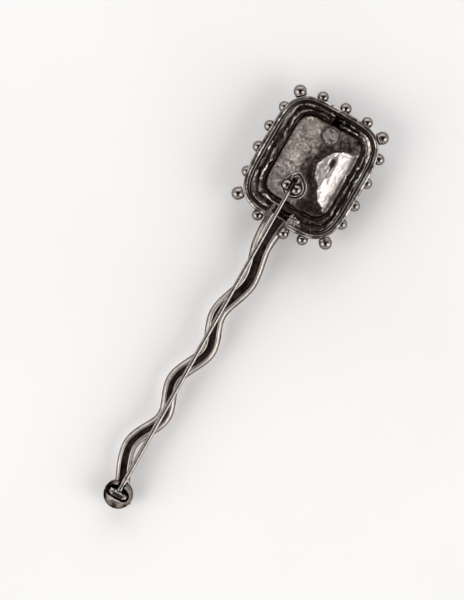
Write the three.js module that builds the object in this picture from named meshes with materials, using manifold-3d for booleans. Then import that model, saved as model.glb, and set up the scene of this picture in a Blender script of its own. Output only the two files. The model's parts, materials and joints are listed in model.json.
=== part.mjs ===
// Jewelled hair pin with a brooch mechanism, lying face down with its back up.
// Units are millimetres. X runs across the pin, Y along it toward the head, Z up.
// The origin is under the middle of the pin, on the surface it lies on.

import * as THREE from 'three';
import { mergeVertices } from 'three/addons/utils/BufferGeometryUtils.js';
import Module from 'manifold-3d';

const wasm = await Module();
wasm.setup();

// ---- driving dimensions ----

const GAP = 0.05; // between pieces that are soldered, riveted or glued together
const LENGTH = 114.3; // over the tail ball and the middle bead of the head

const BALL = { x: -1.25, r: 3.65, wall: 0.6 };
BALL.y = BALL.r - LENGTH / 2;
BALL.z = BALL.r;
const MOUTH = { x: BALL.x - 0.25, y: BALL.y + 0.12, halfWidth: 3.0, halfLength: 2.08, floor: BALL.z + 0.5 };

const HEAD = { y: 39.05, halfWidth: 13.5, halfLength: 15.83, corner: 3.8 }; // corner: power of the cushion outline
const FLOOR = { halfWidth: 8.7, front: 4.0, back: 5.0, corner: 6.0, shiftX: 0.3, shiftY: 0.8 };
const RIM = { top: 9.0, bottom: 5.2, width: 1.6, step: 0.85 };
const SHELL = { inset: RIM.width + GAP, front: 1.6, recess: 3.0 };

const SMALL_BEAD = 1.4;
const CORNER_BEAD = 1.6;
const BEAD_Z = 7.3;
const END_STANDOFF = 0.75; // bead centre outside the outline, on the short sides
const BEAD_PITCH = 6.2;

// Bead places by hand, from the head's centre: corners as [x, y], long sides as [y, distance off the outline].
const CORNERS = [[-11.55, 14.9], [11.55, 14.9], [12.2, -14.25], [-12.35, -14.25]];
const RIGHT_SIDE = [[-8.2, 0.1], [-2.8, 0.3], [3.4, 0.16], [9.9, 0.5]];
const LEFT_SIDE = [[-8.45, -0.1], [-1.85, 0.2], [3.9, 0.31], [9.65, 0.05]];

const STEM = { tailRadius: 1.8, midRadius: 2.2, headRadius: 3.0, bore: 0.62, mouth: 50, tailZ: 3.3, headZ: 5.0 };
STEM.headX = -0.85;
STEM.endY = HEAD.y - HEAD.halfLength + SHELL.inset - 2 * GAP;

const RIVET = { r: 0.4, y: BALL.y - 0.25, z: BALL.z + 0.75, halfLength: 3.75 };
const KNUCKLE = { r: 1.45, halfLength: 1.2 };
const EAR = { thickness: 1.2, clear: 0.08 };

const CATCH = { x: -1.85, y: 32.5, z: 9.45, drumRadius: 1.0, knob: 1.45, slot: 0.58, cap: 0.4 };
CATCH.drumStart = CATCH.y - 1.05;
CATCH.drumEnd = CATCH.y + 2.6;
CATCH.knobRight = 1.44;
CATCH.knobLeft = -1.2;
CATCH.ringRadius = 1.55;
CATCH.footWidth = 1.5;
CATCH.ringStart = CATCH.y + CATCH.knob + GAP;
CATCH.ringEnd = CATCH.drumEnd - GAP;

const NEEDLE = { rootRadius: 0.65, tipRadius: 0.5, taper: 3.2, point: 0.08, tipY: 33.8 };
NEEDLE.root = new THREE.Vector3(-1.42, RIVET.y, RIVET.z + 0.75);
NEEDLE.tip = new THREE.Vector3(CATCH.x, NEEDLE.tipY, CATCH.z + 0.06);

const PLAQUE = { x: 0.33, y: HEAD.y + 9.25, halfWidth: 2.65, halfLength: 2.5, height: 0.55, border: 0.35 };
const PAD = { x: -1.2, y: 33.0, r: 3.2, peak: 37.2, tip: 0.5, shoulder: 42, height: 0.6 };

const ROUND = 40; // segments round the head
const FINE = 20; // segments round small turned pieces

// ---- finishes ----

function metal(color, roughness) {
  return new THREE.MeshStandardMaterial({ color, roughness, metalness: 1 });
}

const CAST = metal(0x4a4643, 0.42);
const POLISHED = metal(0x5a5552, 0.2);
const STEEL = metal(0x77716c, 0.22);
const GLASS = new THREE.MeshStandardMaterial({ color: 0x1c2024, roughness: 0.05, metalness: 0 });

// ---- geometry helpers ----

const pin = new THREE.Group();

function add(name, geometry, material) {
  const mesh = new THREE.Mesh(geometry, material);
  mesh.name = name;
  pin.add(mesh);
}

// Leaves only welded positions, without the empty triangles at a lathe's poles.
function welded(geometry) {
  const bare = geometry.clone();
  bare.deleteAttribute('normal');
  bare.deleteAttribute('uv');
  const merged = mergeVertices(bare, 1e-4);
  const index = merged.index.array;
  const kept = [];
  for (let i = 0; i < index.length; i += 3) {
    const [a, b, c] = index.slice(i, i + 3);
    if (a !== b && b !== c && c !== a) kept.push(a, b, c);
  }
  merged.setIndex(kept);
  return merged;
}

function signedVolume(geometry) {
  const p = geometry.attributes.position;
  const index = geometry.index.array;
  const corner = [new THREE.Vector3(), new THREE.Vector3(), new THREE.Vector3()];
  let sum = 0;
  for (let i = 0; i < index.length; i += 3) {
    corner.forEach((v, k) => v.fromBufferAttribute(p, index[i + k]));
    sum += corner[0].dot(corner[1].clone().cross(corner[2]));
  }
  return sum / 6;
}

// The same surface, closed and with its faces pointing out.
function closed(geometry) {
  const result = welded(geometry);
  if (signedVolume(result) < 0) result.setIndex(Array.from(result.index.array).reverse());
  return result;
}

function solid(geometry) {
  const clean = closed(geometry);
  const vertProperties = new Float32Array(clean.attributes.position.array);
  const triVerts = new Uint32Array(clean.index.array);
  return new wasm.Manifold(new wasm.Mesh({ numProp: 3, vertProperties, triVerts }));
}

function geometryOf(body) {
  const mesh = body.getMesh();
  const geometry = new THREE.BufferGeometry();
  geometry.setAttribute('position', new THREE.BufferAttribute(mesh.vertProperties, 3));
  geometry.setIndex(new THREE.BufferAttribute(mesh.triVerts, 1));
  return geometry;
}

// Turns a profile of [radius, z] pairs about the vertical axis.
function turned(profile, segments) {
  const points = profile.map(([radius, z]) => new THREE.Vector2(radius, z));
  return new THREE.LatheGeometry(points, segments).rotateX(Math.PI / 2);
}

function rodAlongX(radius, fromX, toX, y, z) {
  const rod = new THREE.CylinderGeometry(radius, radius, toX - fromX, FINE);
  return rod.rotateZ(Math.PI / 2).translate((fromX + toX) / 2, y, z);
}

function rodAlongY(radius, fromY, toY, x, z) {
  return new THREE.CylinderGeometry(radius, radius, toY - fromY, FINE).translate(x, (fromY + toY) / 2, z);
}

function block(sizeX, sizeY, sizeZ, x, y, z) {
  return new THREE.BoxGeometry(sizeX, sizeY, sizeZ).translate(x, y, z);
}

function ball(radius, x, y, z, detail) {
  return new THREE.IcosahedronGeometry(radius, detail).translate(x, y, z);
}

// ---- the head's cushion outline ----

// Half sizes and corner power of the ring that is halfWidth out from the head's centre line.
function cushion(halfWidth) {
  const extra = HEAD.halfLength - HEAD.halfWidth;
  if (halfWidth <= FLOOR.halfWidth) {
    const ratio = (FLOOR.halfWidth + extra) / FLOOR.halfWidth;
    return { x: halfWidth, y: halfWidth * ratio, power: FLOOR.corner };
  }
  const out = (halfWidth - FLOOR.halfWidth) / (HEAD.halfWidth - FLOOR.halfWidth);
  return { x: halfWidth, y: halfWidth + extra, power: THREE.MathUtils.lerp(FLOOR.corner, HEAD.corner, out) };
}

// Share of the floor's shift off the head's centre that a ring of the back takes: none at the outer wall.
function floorShare(halfWidth, z) {
  if (z < (FLOOR.front + FLOOR.back) / 2) return 0;
  const wall = HEAD.halfWidth - SHELL.inset;
  return THREE.MathUtils.clamp((wall - halfWidth) / (wall - FLOOR.halfWidth), 0, 1);
}

// Moves a turned piece's round rings out to the cushion outline, and to the head's place.
function squaredOff(geometry) {
  const p = geometry.attributes.position;
  for (let i = 0; i < p.count; i += 1) {
    const radius = Math.hypot(p.getX(i), p.getY(i));
    const share = floorShare(radius, p.getZ(i));
    const ring = cushion(Math.max(radius, 1e-6));
    const across = radius > 1e-6 ? p.getX(i) / radius : 1;
    const along = radius > 1e-6 ? p.getY(i) / radius : 0;
    const sum = Math.abs(across / ring.x) ** ring.power + Math.abs(along / ring.y) ** ring.power;
    const reach = sum ** (-1 / ring.power);
    p.setXY(i, across * reach + share * FLOOR.shiftX, along * reach + share * FLOOR.shiftY);
  }
  return geometry.translate(0, HEAD.y, 0);
}

// A head piece from a profile of [inset from the outline, z] pairs.
function headRing(profile, segments = ROUND) {
  return squaredOff(turned(profile.map(([inset, z]) => [HEAD.halfWidth - inset, z]), segments));
}

// ---- head ----

function headShell() {
  const { inset, front, recess } = SHELL;
  const floorEdge = HEAD.halfWidth - FLOOR.halfWidth;
  return headRing([
    [HEAD.halfWidth, FLOOR.front], [recess, FLOOR.front], [recess, front], [inset + 1.05, front],
    [inset + 1.05, 2.3], [inset + 0.6, 2.5], [inset + 0.6, 3.5], [inset, 3.8],
    [inset, 7.8], [inset + 0.35, 8.05], [inset + 0.95, 8.05], [inset + 1.25, 7.7], [inset + 1.3, 6.7],
    [inset + 1.65, 6.95], [inset + 2.35, 6.95], [inset + 2.7, 6.5], [floorEdge, FLOOR.back],
    [HEAD.halfWidth, FLOOR.back],
  ]);
}

// The rim is open where the stem enters it.
function rimFrame() {
  const { top, bottom, width, step } = RIM;
  const ring = solid(headRing([
    [width, bottom], [step, bottom], [step, bottom + 1.0], [0, bottom + 1.3], [0, top - 0.5],
    [0.3, top - 0.08], [0.45, top], [1.0, top], [1.25, top - 0.25], [1.35, top - 0.85],
    [width, top - 0.95], [width, bottom],
  ]));
  const opening = { width: 2 * (STEM.headRadius + 2 * GAP), depth: 6, height: 8 };
  const outside = HEAD.y - HEAD.halfLength;
  const centreZ = STEM.headZ + opening.height / 2;
  return ring.subtract(solid(block(opening.width, opening.depth, opening.height, STEM.headX, outside, centreZ)));
}

const rim = rimFrame();
add('head_shell', closed(headShell()), CAST);
add('rim_frame', geometryOf(rim), CAST);

function stoneBezel() {
  const outer = SHELL.inset + 1.05;
  const top = SHELL.front - GAP;
  return headRing([
    [SHELL.recess, top], [outer, top], [outer, 1.0], [outer + 0.25, 0.7], [outer + 0.75, 0.75],
    [SHELL.recess + 0.75, 1.05], [SHELL.recess, 1.3], [SHELL.recess, top],
  ]);
}

// Cushion-cut stone: table on the resting surface, crown, girdle and a shallow pavilion.
function frontStone() {
  const edge = SHELL.recess + 0.1;
  return headRing([
    [HEAD.halfWidth, 0], [edge + 2.9, 0], [edge + 1.0, 1.0], [edge, 1.75], [edge, 2.2],
    [edge + 2.4, FLOOR.front - GAP], [HEAD.halfWidth, FLOOR.front - GAP],
  ], FINE);
}

add('stone_bezel', closed(stoneBezel()), POLISHED);
add('front_stone', closed(frontStone()), GLASS);

// Oval plaque with a raised border and a blank field.
function plaque() {
  const low = FLOOR.back + GAP;
  const high = low + PLAQUE.height;
  const edge = PLAQUE.halfWidth;
  const disc = turned([
    [0, low], [edge, low], [edge, high - 0.1], [edge - 0.1, high], [edge - PLAQUE.border, high],
    [edge - PLAQUE.border - 0.1, high - 0.2], [0, high - 0.2],
  ], FINE);
  return disc.scale(1, PLAQUE.halfLength / PLAQUE.halfWidth, 1).translate(PLAQUE.x, PLAQUE.y, 0);
}

add('oval_plaque', closed(plaque()), POLISHED);

// ---- beads round the rim ----

// Everything inside the outline, with a solder gap, over the whole height of the head.
const insideOutline = solid(headRing([[HEAD.halfWidth, 0], [-GAP, 0], [-GAP, 12], [HEAD.halfWidth, 12]]));
const shoulder = solid(rodAlongY(STEM.headRadius, HEAD.y - 22, HEAD.y - 10, STEM.headX, STEM.headZ));

function outlineAt(distance, halfAcross, halfAlong) {
  return halfAlong * (1 - Math.abs(distance / halfAcross) ** HEAD.corner) ** (1 / HEAD.corner);
}

function bead(name, radius, x, y) {
  const sphere = solid(ball(radius, x, HEAD.y + y, BEAD_Z, 2));
  add(name, geometryOf(sphere.subtract(insideOutline).subtract(shoulder)), POLISHED);
}

CORNERS.forEach(([x, y], i) => bead(`corner_bead_${i + 1}`, CORNER_BEAD, x, y));

[-1, 0, 1].forEach((step, i) => {
  const farX = 0.25 + step * BEAD_PITCH;
  const farY = outlineAt(farX, HEAD.halfWidth, HEAD.halfLength) + END_STANDOFF;
  const middleY = LENGTH / 2 - SMALL_BEAD - HEAD.y;
  bead(`end_bead_${i + 1}`, SMALL_BEAD, farX, step === 0 ? middleY : farY);
  const besideStem = step === 0 ? 1.4 : 0;
  const nearX = 0.65 + step * BEAD_PITCH;
  const nearY = -outlineAt(nearX, HEAD.halfWidth, HEAD.halfLength) - END_STANDOFF - besideStem / 2;
  bead(`stem_side_bead_${i + 1}`, SMALL_BEAD, nearX + besideStem, nearY);
});

function sideBead(name, side, [y, standoff]) {
  bead(name, SMALL_BEAD, side * (outlineAt(y, HEAD.halfLength, HEAD.halfWidth) + standoff), y);
}

RIGHT_SIDE.forEach((place, i) => sideBead(`right_bead_${i + 1}`, 1, place));
LEFT_SIDE.forEach((place, i) => sideBead(`left_bead_${i + 1}`, -1, place));

// ---- stem: a serpentine channel, open along its back ----

const stemBends = [
  [-1.3, -52.0], [-4.76, -41.3], [-0.98, -31.6], [-3.29, -22.3], [0.41, -12.1],
  [-2.0, -3.05], [0.61, 7.45], [-1.0, 17.2], [STEM.headX, STEM.endY],
];

function stemZ(y) {
  return THREE.MathUtils.lerp(STEM.tailZ, STEM.headZ, (y - BALL.y) / (STEM.endY - BALL.y));
}

function stemRadius(y) {
  const body = THREE.MathUtils.smoothstep(y, -32, 8);
  const flare = THREE.MathUtils.smoothstep(y, 11, 24);
  const plain = THREE.MathUtils.lerp(STEM.tailRadius, STEM.midRadius, body);
  return THREE.MathUtils.lerp(plain, STEM.headRadius, flare);
}

// C-shaped section of unit radius with its mouth toward +Y of the drawing.
function channelSection() {
  const mouth = THREE.MathUtils.degToRad(STEM.mouth);
  const start = Math.PI / 2 - mouth;
  const end = Math.PI / 2 + mouth;
  const lip = (1 + STEM.bore) / 2;
  const outer = new THREE.Path().absarc(0, 0, 1, start, end, true).getPoints(6);
  const inner = new THREE.Path().absarc(0, 0, STEM.bore, end, start, false).getPoints(4);
  const leftLip = new THREE.Vector2(Math.cos(end - 0.16), Math.sin(end - 0.16)).multiplyScalar(lip);
  const rightLip = new THREE.Vector2(Math.cos(start + 0.16), Math.sin(start + 0.16)).multiplyScalar(lip);
  return new THREE.Shape([...outer, leftLip, ...inner, rightLip]);
}

function stemGeometry() {
  const route = new THREE.CatmullRomCurve3(stemBends.map(([x, y]) => new THREE.Vector3(x, y, stemZ(y))));
  const straight = new THREE.ExtrudeGeometry(channelSection(), { depth: 1, steps: 46, bevelEnabled: false });
  const p = straight.attributes.position;
  for (let i = 0; i < p.count; i += 1) {
    const along = THREE.MathUtils.clamp(p.getZ(i), 0, 1);
    const centre = route.getPointAt(along);
    const tangent = route.getTangentAt(along);
    const side = new THREE.Vector3(tangent.y, -tangent.x, 0).normalize();
    const up = new THREE.Vector3().crossVectors(side, tangent);
    const radius = stemRadius(centre.y);
    centre.addScaledVector(side, radius * p.getX(i)).addScaledVector(up, radius * p.getY(i));
    p.setXYZ(i, centre.x, Math.min(centre.y, STEM.endY), centre.z);
  }
  return straight;
}

const ballClearance = solid(ball(BALL.r + 2 * GAP, BALL.x, BALL.y, BALL.z, 4));
add('stem_channel', geometryOf(solid(stemGeometry()).subtract(ballClearance)), CAST);

// ---- tail ball with the hinge inside ----

const rivetHole = solid(rodAlongX(RIVET.r + GAP, BALL.x - 5, BALL.x + 5, RIVET.y, RIVET.z));
const cavityRadius = BALL.r - BALL.wall;

// Half circle from pole to pole, as [radius, z] pairs.
function arc(radius, steps) {
  const profile = [];
  for (let i = 0; i <= steps; i += 1) {
    const angle = THREE.MathUtils.lerp(-Math.PI / 2, Math.PI / 2, i / steps);
    const onAxis = i === 0 || i === steps;
    profile.push([onAxis ? 0 : radius * Math.cos(angle), radius * Math.sin(angle)]);
  }
  return profile;
}

// Hollow ball with an oval mouth at its back, and a notch in the mouth's edge for the needle.
function tailBall() {
  const outer = solid(turned(arc(BALL.r, 16), FINE).translate(BALL.x, BALL.y, BALL.z));
  const cavity = solid(turned(arc(cavityRadius, 12), FINE).translate(BALL.x, BALL.y, BALL.z));
  const oval = new THREE.CylinderGeometry(MOUTH.halfWidth, MOUTH.halfWidth, BALL.r, 2 * FINE).rotateX(Math.PI / 2);
  oval.scale(1, MOUTH.halfLength / MOUTH.halfWidth, 1).translate(MOUTH.x, MOUTH.y, MOUTH.floor + BALL.r / 2);
  const notch = { width: 2 * NEEDLE.rootRadius + 0.5, low: RIVET.z + 0.1, height: 4 };
  const notchZ = notch.low + notch.height / 2;
  const slot = block(notch.width, BALL.r, notch.height, NEEDLE.root.x, BALL.y + BALL.r, notchZ);
  return outer.subtract(cavity).subtract(solid(oval)).subtract(rivetHole).subtract(solid(slot));
}

add('tail_ball', geometryOf(tailBall()), POLISHED);
add('hinge_rivet', closed(rodAlongX(RIVET.r, BALL.x - RIVET.halfLength, BALL.x + RIVET.halfLength,
  RIVET.y, RIVET.z)), STEEL);

// Each ear is a round-topped plate that stands on the inside of the ball.
const insideBall = solid(ball(cavityRadius - 0.12, BALL.x, BALL.y, BALL.z, 3));

function hingeEar(side) {
  const near = BALL.x + side * (KNUCKLE.halfLength + EAR.clear);
  const far = near + side * EAR.thickness;
  const [fromX, toX] = side < 0 ? [far, near] : [near, far];
  const eye = solid(rodAlongX(KNUCKLE.r, fromX, toX, RIVET.y, RIVET.z));
  const plate = solid(block(EAR.thickness, 2 * KNUCKLE.r, 3, (fromX + toX) / 2, RIVET.y, RIVET.z - 1.5));
  return eye.add(plate).intersect(insideBall).subtract(rivetHole);
}

add('hinge_ear_left', geometryOf(hingeEar(-1)), STEEL);
add('hinge_ear_right', geometryOf(hingeEar(1)), STEEL);

// ---- needle ----

const knuckleEnds = [BALL.x - KNUCKLE.halfLength, BALL.x + KNUCKLE.halfLength];
const knuckleRod = solid(rodAlongX(KNUCKLE.r, ...knuckleEnds, RIVET.y, RIVET.z));
add('needle_knuckle', geometryOf(knuckleRod.subtract(rivetHole)), STEEL);

function needleShaft() {
  const direction = NEEDLE.tip.clone().sub(NEEDLE.root);
  const length = direction.length();
  const profile = [
    [0, 0], [NEEDLE.rootRadius, 0], [NEEDLE.tipRadius, length - NEEDLE.taper],
    [NEEDLE.tipRadius * 0.72, length - NEEDLE.taper * 0.35], [NEEDLE.point, length], [0, length],
  ];
  const shaft = turned(profile, 16);
  const turn = new THREE.Quaternion().setFromUnitVectors(new THREE.Vector3(0, 0, 1), direction.normalize());
  shaft.applyQuaternion(turn).translate(NEEDLE.root.x, NEEDLE.root.y, NEEDLE.root.z);
  const aroundKnuckle = rodAlongX(KNUCKLE.r + GAP, BALL.x - 3, BALL.x + 3, RIVET.y, RIVET.z);
  return solid(shaft).subtract(solid(aroundKnuckle));
}

add('needle', geometryOf(needleShaft().decompose().sort((a, b) => b.volume() - a.volume())[0]), STEEL);

// ---- catch ----

function catchPad() {
  const low = FLOOR.back + GAP;
  const tangent = THREE.MathUtils.degToRad(PAD.shoulder);
  const outline = new THREE.Shape();
  outline.absarc(PAD.x, PAD.y, PAD.r, Math.PI / 2 + tangent, Math.PI / 2 - tangent + 2 * Math.PI, false);
  outline.lineTo(CATCH.x + PAD.tip, PAD.peak);
  outline.lineTo(CATCH.x - PAD.tip, PAD.peak);
  const options = { depth: PAD.height, bevelEnabled: false, curveSegments: 20 };
  return new THREE.ExtrudeGeometry(outline, options).translate(0, 0, low);
}

add('catch_pad', closed(catchPad()), CAST);

// Open ring on a foot. Its mouth faces up, so the needle can drop in.
function catchHousing() {
  const low = FLOOR.back + PAD.height + 2 * GAP;
  const ring = solid(rodAlongY(CATCH.ringRadius, CATCH.ringStart, CATCH.ringEnd, CATCH.x, CATCH.z));
  const depth = CATCH.ringEnd - CATCH.ringStart;
  const middle = (CATCH.ringStart + CATCH.ringEnd) / 2;
  const footHeight = CATCH.z - low;
  const foot = solid(block(CATCH.footWidth, depth, footHeight, CATCH.x, middle, low + footHeight / 2));
  const bore = solid(rodAlongY(CATCH.drumRadius + GAP, CATCH.ringStart - 1, CATCH.ringEnd + 1, CATCH.x, CATCH.z));
  const rise = 2 * CATCH.ringRadius;
  const mouth = solid(block(2 * (CATCH.slot + 0.1), 2 * depth, rise, CATCH.x, middle, CATCH.z + rise / 2));
  return ring.add(foot).subtract(bore).subtract(mouth);
}

add('catch_housing', geometryOf(catchHousing()), STEEL);

// The drum has a slot for the needle, open upward, and carries a ball on each side of it.
function catchDrum() {
  const drum = solid(rodAlongY(CATCH.drumRadius, CATCH.drumStart, CATCH.drumEnd, CATCH.x, CATCH.z));
  const start = CATCH.drumStart - 1;
  const end = CATCH.drumEnd - CATCH.cap;
  const seat = solid(rodAlongY(CATCH.slot, start, end, CATCH.x, CATCH.z));
  const rise = 2 * CATCH.drumRadius;
  const slot = solid(block(2 * CATCH.slot, end - start, rise, CATCH.x, (start + end) / 2, CATCH.z + rise / 2));
  return drum.subtract(seat).subtract(slot);
}

function catchKnob(offset) {
  const sphere = solid(ball(CATCH.knob, CATCH.x + offset, CATCH.y, CATCH.z, 2));
  const drum = rodAlongY(CATCH.drumRadius + GAP, CATCH.y - 3, CATCH.y + 3, CATCH.x, CATCH.z);
  return sphere.subtract(solid(drum));
}

add('catch_drum', geometryOf(catchDrum()), STEEL);
add('catch_knob_left', geometryOf(catchKnob(CATCH.knobLeft)), POLISHED);
add('catch_knob_right', geometryOf(catchKnob(CATCH.knobRight)), POLISHED);

export default pin;
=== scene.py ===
"""Jewelled hair pin with a brooch mechanism, lying face down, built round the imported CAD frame.

Shapes are worked out in millimetres in the frame's axes: X across the pin, Y toward the head, Z up.
"""
import json
import math

import bmesh
import bpy
import numpy as np
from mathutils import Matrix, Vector, noise
from mathutils.kdtree import KDTree


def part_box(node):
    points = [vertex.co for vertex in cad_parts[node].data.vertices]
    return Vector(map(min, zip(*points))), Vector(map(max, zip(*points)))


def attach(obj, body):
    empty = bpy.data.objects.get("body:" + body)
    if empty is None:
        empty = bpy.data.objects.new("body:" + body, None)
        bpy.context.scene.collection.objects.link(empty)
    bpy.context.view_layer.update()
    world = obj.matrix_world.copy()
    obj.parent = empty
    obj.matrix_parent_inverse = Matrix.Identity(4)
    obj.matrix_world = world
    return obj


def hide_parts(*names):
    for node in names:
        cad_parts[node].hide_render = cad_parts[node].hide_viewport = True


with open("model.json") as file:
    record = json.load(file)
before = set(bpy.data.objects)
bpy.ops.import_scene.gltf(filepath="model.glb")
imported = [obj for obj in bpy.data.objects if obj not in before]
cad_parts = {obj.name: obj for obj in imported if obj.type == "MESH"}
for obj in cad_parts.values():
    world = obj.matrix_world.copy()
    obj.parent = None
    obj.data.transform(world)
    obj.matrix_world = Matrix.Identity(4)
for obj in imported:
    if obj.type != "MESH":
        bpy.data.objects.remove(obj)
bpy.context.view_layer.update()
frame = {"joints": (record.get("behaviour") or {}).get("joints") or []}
MM = 0.001


# ---- sizes, read from the frame ----

def cad(node):
    """Lowest and highest corner of a CAD node, in millimetres."""
    low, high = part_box(node)
    return np.array(low) / MM, np.array(high) / MM


def middle(node):
    """Centre of a CAD node's box, in millimetres."""
    low, high = cad(node)
    return (low + high) / 2


RIM_LOW, RIM_HIGH = cad("rim_frame")
HEAD = middle("rim_frame")
HALF_WIDTH, HALF_LENGTH = ((RIM_HIGH - RIM_LOW) / 2)[:2]
RIM_TOP = RIM_HIGH[2]
SHELL_FRONT = cad("head_shell")[0][2]
FLOOR_BACK = cad("oval_plaque")[0][2] - 0.05
STONE_LOW, STONE_HIGH = cad("front_stone")

CORNER_POWER = 3.8  # how square the cushion outline is at the rim
FLOOR_POWER = 6.0  # and round the floor of the hollow
FLOOR_HALF = 8.7  # half width of that floor
FLOOR_SHIFT = (0.3, 0.8)  # from the head's centre to the floor's
SHELL_INSET = 1.65  # from the outline in to the shell's wall

SMALL_BEAD = 1.4
CORNER_BEAD = 1.6
SIDE_NECK = 0.6  # from a bead's centre in to its solder, at the long sides
END_NECK = 0.85  # and everywhere else

BALL_LOW, BALL_HIGH = cad("tail_ball")
BALL_R = (BALL_HIGH[0] - BALL_LOW[0]) / 2
BALL = np.array([middle("tail_ball")[0], BALL_LOW[1] + BALL_R, BALL_LOW[2] + BALL_R])
BALL_WALL = 0.6
MOUTH = np.array([-0.2, 0.25, 3.0, 1.95])  # centre off the ball's centre, then half width and half length
RIVET = middle("hinge_rivet")
KNUCKLE_R = (cad("needle_knuckle")[1][2] - cad("needle_knuckle")[0][2]) / 2

CATCH = middle("catch_drum")
CATCH_R = (cad("catch_drum")[1][0] - cad("catch_drum")[0][0]) / 2
CATCH_Z = next(j for j in frame["joints"] if j["name"] == "catch_turn")["pos_m"][2] / MM
SLOT = 0.58  # half width of the slot that holds the needle
KNOB = 1.45  # radius of the catch's two knobs

NEEDLE_ROOT = np.array([-1.42, RIVET[1], RIVET[2] + 0.75])
NEEDLE_TIP = np.array([CATCH[0], cad("needle")[1][1], middle("catch_knob_right")[2] + 0.06])
NEEDLE_R = (0.65, 0.5)  # at the root and at the catch


# ---- mesh helpers ----

def smoothstep(value, low, high):
    """0 below low, 1 above high, and a smooth rise between them."""
    t = np.clip((value - low) / (high - low), 0, 1)
    return t * t * (3 - 2 * t)


def unit(vectors):
    return vectors / np.maximum(np.linalg.norm(vectors, axis=-1, keepdims=True), 1e-9)


def at_height(x, y, z=0.0):
    """Points from x and y, all at one height."""
    return np.stack([x, y, np.full_like(x, z)], 1)


def noise_at(points, scale, octaves=3, seed=0.0):
    """Fractal noise in -1..1 at points in millimetres; scale is the number of lumps per millimetre."""
    offset = Vector((seed, seed * 1.7, -seed))
    return np.array([noise.fractal(Vector(p) * scale + offset, 0.7, 2.0, octaves) for p in points])


def rounded(profile, passes=2):
    """Cuts the corners off an open line of points, and keeps its ends."""
    line = np.array(profile, float)
    for _ in range(passes):
        first = 0.75 * line[:-1] + 0.25 * line[1:]
        second = 0.25 * line[:-1] + 0.75 * line[1:]
        cut = np.empty((2 * len(first), line.shape[1]))
        cut[0::2] = first
        cut[1::2] = second
        line = np.vstack([line[:1], cut, line[-1:]])
    return line


def placed(name, data):
    """A new object in the scene."""
    obj = bpy.data.objects.new(name, data)
    bpy.context.scene.collection.objects.link(obj)
    return obj


def piece(name, verts, faces, material, node=None, body="pin_body", slot=None, angle=40):
    """A mesh from millimetre points that rides on a body and stands for a CAD node."""
    mesh = bpy.data.meshes.new(name)
    mesh.from_pydata([tuple(v) for v in np.asarray(verts) * MM], [], [tuple(f) for f in faces])
    mesh.validate()
    obj = placed(name, mesh)
    mesh.materials.append(material)
    outward(mesh)
    mesh.shade_smooth()
    if angle:
        mesh.set_sharp_from_angle(angle=math.radians(angle))
    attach(obj, body)
    if node:
        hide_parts(node)
    return obj


def outward(mesh):
    """Merges doubled vertices and turns every face outward."""
    bm = bmesh.new()
    bm.from_mesh(mesh)
    bmesh.ops.remove_doubles(bm, verts=bm.verts, dist=1e-7)
    bmesh.ops.recalc_face_normals(bm, faces=bm.faces)
    bm.to_mesh(mesh)
    bm.free()


def store(obj, name, values):
    """Keeps one value for each vertex, for a material to read."""
    layer = obj.data.attributes.new(name, "FLOAT", "POINT")
    layer.data.foreach_set("value", np.asarray(values, float))


def paint(obj, verts, patina_and_shade, polish_and_highlight=0.0, matte=0.0):
    """Gives each vertex the skin of the nearest source point; one number is the same skin all over."""
    tree = KDTree(len(verts))
    for i, v in enumerate(verts):
        tree.insert(Vector(v), i)
    tree.balance()
    nearest = [tree.find(vertex.co / MM)[1] for vertex in obj.data.vertices]
    # patina_and_shade darkens the colour and polish_and_highlight lightens it; each holds real finish and
    # painted light
    for name, values in (("patina_and_shade", patina_and_shade), ("polish_and_highlight", polish_and_highlight), ("matte", matte)):
        store(obj, name, np.broadcast_to(values, len(verts))[nearest])


def loft_faces(rings, per_ring, close_loft=False):
    """Quads between closed rings of points that follow each other in the vertex list."""
    faces = []
    for i in range(rings if close_loft else rings - 1):
        a, b = i * per_ring, (i + 1) % rings * per_ring
        for j in range(per_ring):
            k = (j + 1) % per_ring
            faces.append((a + j, a + k, b + k, b + j))
    return faces


def capped(rings, per_ring):
    """An open loft with its two end rings filled."""
    last = (rings - 1) * per_ring
    return loft_faces(rings, per_ring) + [tuple(range(per_ring)), tuple(range(last, last + per_ring))]


def from_level(level, points):
    """Profile points whose heights are given from a level."""
    return [(x, level + z) for x, z in points]


def lathe(profile, segments):
    """Vertices and faces of [radius, height] pairs turned about Z; zero radii become poles."""
    angles = np.linspace(0, 2 * np.pi, segments, endpoint=False)
    verts, faces, previous = [], [], None
    for radius, height in profile:
        start = len(verts)
        if radius < 1e-6:
            verts.append((0, 0, height))
            ring = [start]
        else:
            verts.extend((radius * math.cos(a), radius * math.sin(a), height) for a in angles)
            ring = list(range(start, start + segments))
        if previous:
            for j in range(segments):
                k = (j + 1) % segments
                if len(previous) == 1:
                    faces.append((previous[0], ring[j], ring[k]))
                elif len(ring) == 1:
                    faces.append((previous[j], previous[k], ring[0]))
                else:
                    faces.append((previous[j], previous[k], ring[k], ring[j]))
        previous = ring
    return np.array(verts, float), faces


def turned(profile, segments, direction, origin):
    """A lathed profile whose axis points along a direction."""
    verts, faces = lathe(profile, segments)
    turn = np.array(Vector(direction).to_track_quat('Z', 'Y').to_matrix())
    return verts @ turn.T + np.array(origin), faces


def arc(radius, start, end, count, centre=(0, 0)):
    """Points on a circle; angles in degrees from the first axis."""
    angles = np.radians(np.linspace(start, end, count))
    return [(centre[0] + radius * math.cos(a), centre[1] + radius * math.sin(a)) for a in angles]


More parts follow.
